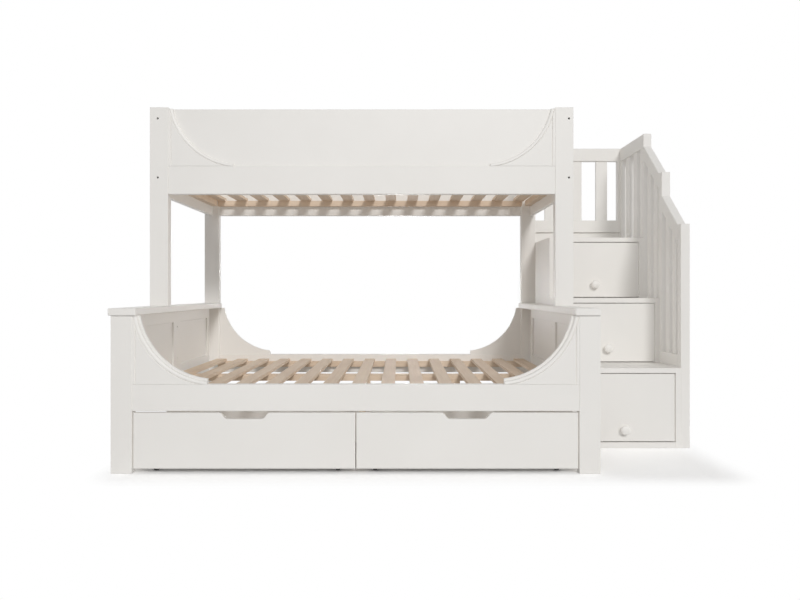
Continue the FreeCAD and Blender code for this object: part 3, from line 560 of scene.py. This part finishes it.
def seen_and_lit(nodes, links, seen, lit):
    """The first shader for what the camera, gloss and glass see, and the second for all other light."""
    rays = nodes.new("ShaderNodeLightPath")
    direct = rays.outputs["Is Camera Ray"]
    for kind in ("Is Glossy Ray", "Is Transmission Ray"):
        either = nodes.new("ShaderNodeMath")
        either.operation = "MAXIMUM"
        links.new(direct, either.inputs[0])
        links.new(rays.outputs[kind], either.inputs[1])
        direct = either.outputs["Value"]
    choice = nodes.new("ShaderNodeMixShader")
    links.new(direct, choice.inputs["Fac"])
    links.new(lit, choice.inputs[1])
    links.new(seen, choice.inputs[2])
    return choice.outputs["Shader"]


def vector_steps(nodes, links, vector, steps):
    """Takes a vector through a row of operations, each with a fixed second vector or none."""
    for operation, other in steps:
        step = nodes.new("ShaderNodeVectorMath")
        step.operation = operation
        links.new(vector, step.inputs[0])
        if other:
            step.inputs[1].default_value = other
        vector = step.outputs["Value" if operation == "LENGTH" else "Vector"]
    return vector


def beyond_shadow(nodes, links):
    """0 on the floor under the bed and behind it, where its shadow falls, and 1 farther away."""
    half_x, half_y = bounds_at_load[1][:2]
    shift = FLOOR_SHADOW_BEHIND / 2
    outside = vector_steps(nodes, links, object_coordinates(nodes, links, UNSTRETCHED), (
        ("SUBTRACT", (0.0, shift, 0.0)),
        ("ABSOLUTE", None),
        ("SUBTRACT", (half_x - FLOOR_SHADOW_INSET, half_y + shift, 0.0)),
        ("MAXIMUM", (0.0, 0.0, 0.0)),
        ("LENGTH", None),
    ))
    far = nodes.new("ShaderNodeMapRange")
    far.interpolation_type = "SMOOTHSTEP"
    far.inputs["From Max"].default_value = FLOOR_SHADOW_REACH
    links.new(outside, far.inputs["Value"])
    return far.outputs["Result"]


def matt_grey(nodes, level):
    """A matt shader of one grey."""
    shade = nodes.new("ShaderNodeBsdfDiffuse")
    shade.inputs["Color"].default_value = (level, level, level, 1)
    return shade.outputs["BSDF"]


def floor_material():
    """Matt to the light. The camera sees it matt near the bed, and plain white beyond the shadow."""
    material, nodes, links = new_material("studio_floor")
    nodes.remove(nodes["Principled BSDF"])
    plain_white = nodes.new("ShaderNodeEmission")
    seen = nodes.new("ShaderNodeMixShader")
    links.new(beyond_shadow(nodes, links), seen.inputs["Fac"])
    links.new(matt_grey(nodes, FLOOR_AS_SEEN), seen.inputs[1])
    links.new(plain_white.outputs["Emission"], seen.inputs[2])
    surface = seen_and_lit(nodes, links, seen.outputs["Shader"], matt_grey(nodes, FLOOR_REFLECTANCE))
    links.new(surface, nodes["Material Output"].inputs["Surface"])
    return material


def studio_floor():
    """A pale plain floor that the camera sees as white but for the bed's own shadow."""
    bpy.ops.mesh.primitive_plane_add(size=FLOOR_SIZE)
    floor = bpy.context.object
    floor.name = "studio_floor"
    floor.data.materials.append(floor_material())


def far_lamp(name, from_where, spread, strength, shades):
    """A lamp so far away that it lights the front and the back of the bed alike. A fill casts no shade."""
    light = bpy.data.lights.new(name, "SUN")
    light.angle = spread
    light.energy = strength
    light.use_shadow = shades
    lamp = bpy.data.objects.new(name, light)
    lamp.location = Vector(from_where) * LAMP_DISTANCE
    lamp.rotation_euler = Vector(from_where).to_track_quat("Z", "Y").to_euler()
    bpy.context.scene.collection.objects.link(lamp)


def softbox():
    """A rectangular lamp above the viewer, which lights the middle and the upper bed most."""
    light = bpy.data.lights.new("softbox", "AREA")
    light.shape = "RECTANGLE"
    light.size, light.size_y = SOFTBOX_SIZE
    light.energy = SOFTBOX_POWER
    lamp = bpy.data.objects.new("softbox", light)
    lamp.location = SOFTBOX_AT
    lamp.rotation_euler = (SOFTBOX_AIM - SOFTBOX_AT).to_track_quat("-Z", "Y").to_euler()
    bpy.context.scene.collection.objects.link(lamp)


def surround():
    """A surround that the camera sees as white, and that lights the bed evenly."""
    world = bpy.data.worlds.new("surround")
    world.use_nodes = True
    bpy.context.scene.world = world
    nodes = world.node_tree.nodes
    links = world.node_tree.links
    nodes.remove(nodes["Background"])
    skies = []
    for level in (SKY_AS_SEEN, SKY_LIGHT):
        sky = nodes.new("ShaderNodeBackground")
        sky.inputs["Color"].default_value = (1, 1, 1, 1)
        sky.inputs["Strength"].default_value = level
        skies.append(sky.outputs["Background"])
    links.new(seen_and_lit(nodes, links, *skies), nodes["World Output"].inputs["Surface"])


def photo_camera():
    """A camera level with the horizon, square to the bed's front, at the photo's place."""
    data = bpy.data.cameras.new("photo_camera")
    data.sensor_width = SENSOR_MM
    data.lens = LENS_PX / IMAGE_WIDTH_PX * SENSOR_MM
    data.shift_y = (HORIZON_PX - IMAGE_MIDDLE_PX) / IMAGE_WIDTH_PX
    camera = bpy.data.objects.new("photo_camera", data)
    camera.location = CAMERA_AT
    camera.rotation_euler = (math.pi / 2, 0, 0)
    bpy.context.scene.collection.objects.link(camera)
    bpy.context.scene.camera = camera


paint_nodes()
moulded_brackets("lower_brackets", doubled=True)
moulded_brackets("upper_brackets", doubled=False)
for index in (1, 2, 3):
    turned_knob(f"stair_drawer_{index}_knob", f"stair_drawer_{index}")
studio_floor()
surround()
far_lamp("key", KEY_FROM, KEY_SPREAD, KEY_STRENGTH, shades=True)
softbox()
for side, from_where in FILL_FROM.items():
    far_lamp(f"{side}_fill", from_where, FILL_SPREAD, FILL_STRENGTH[side], shades=False)
photo_camera()
bpy.context.scene.view_settings.view_transform = "Standard"
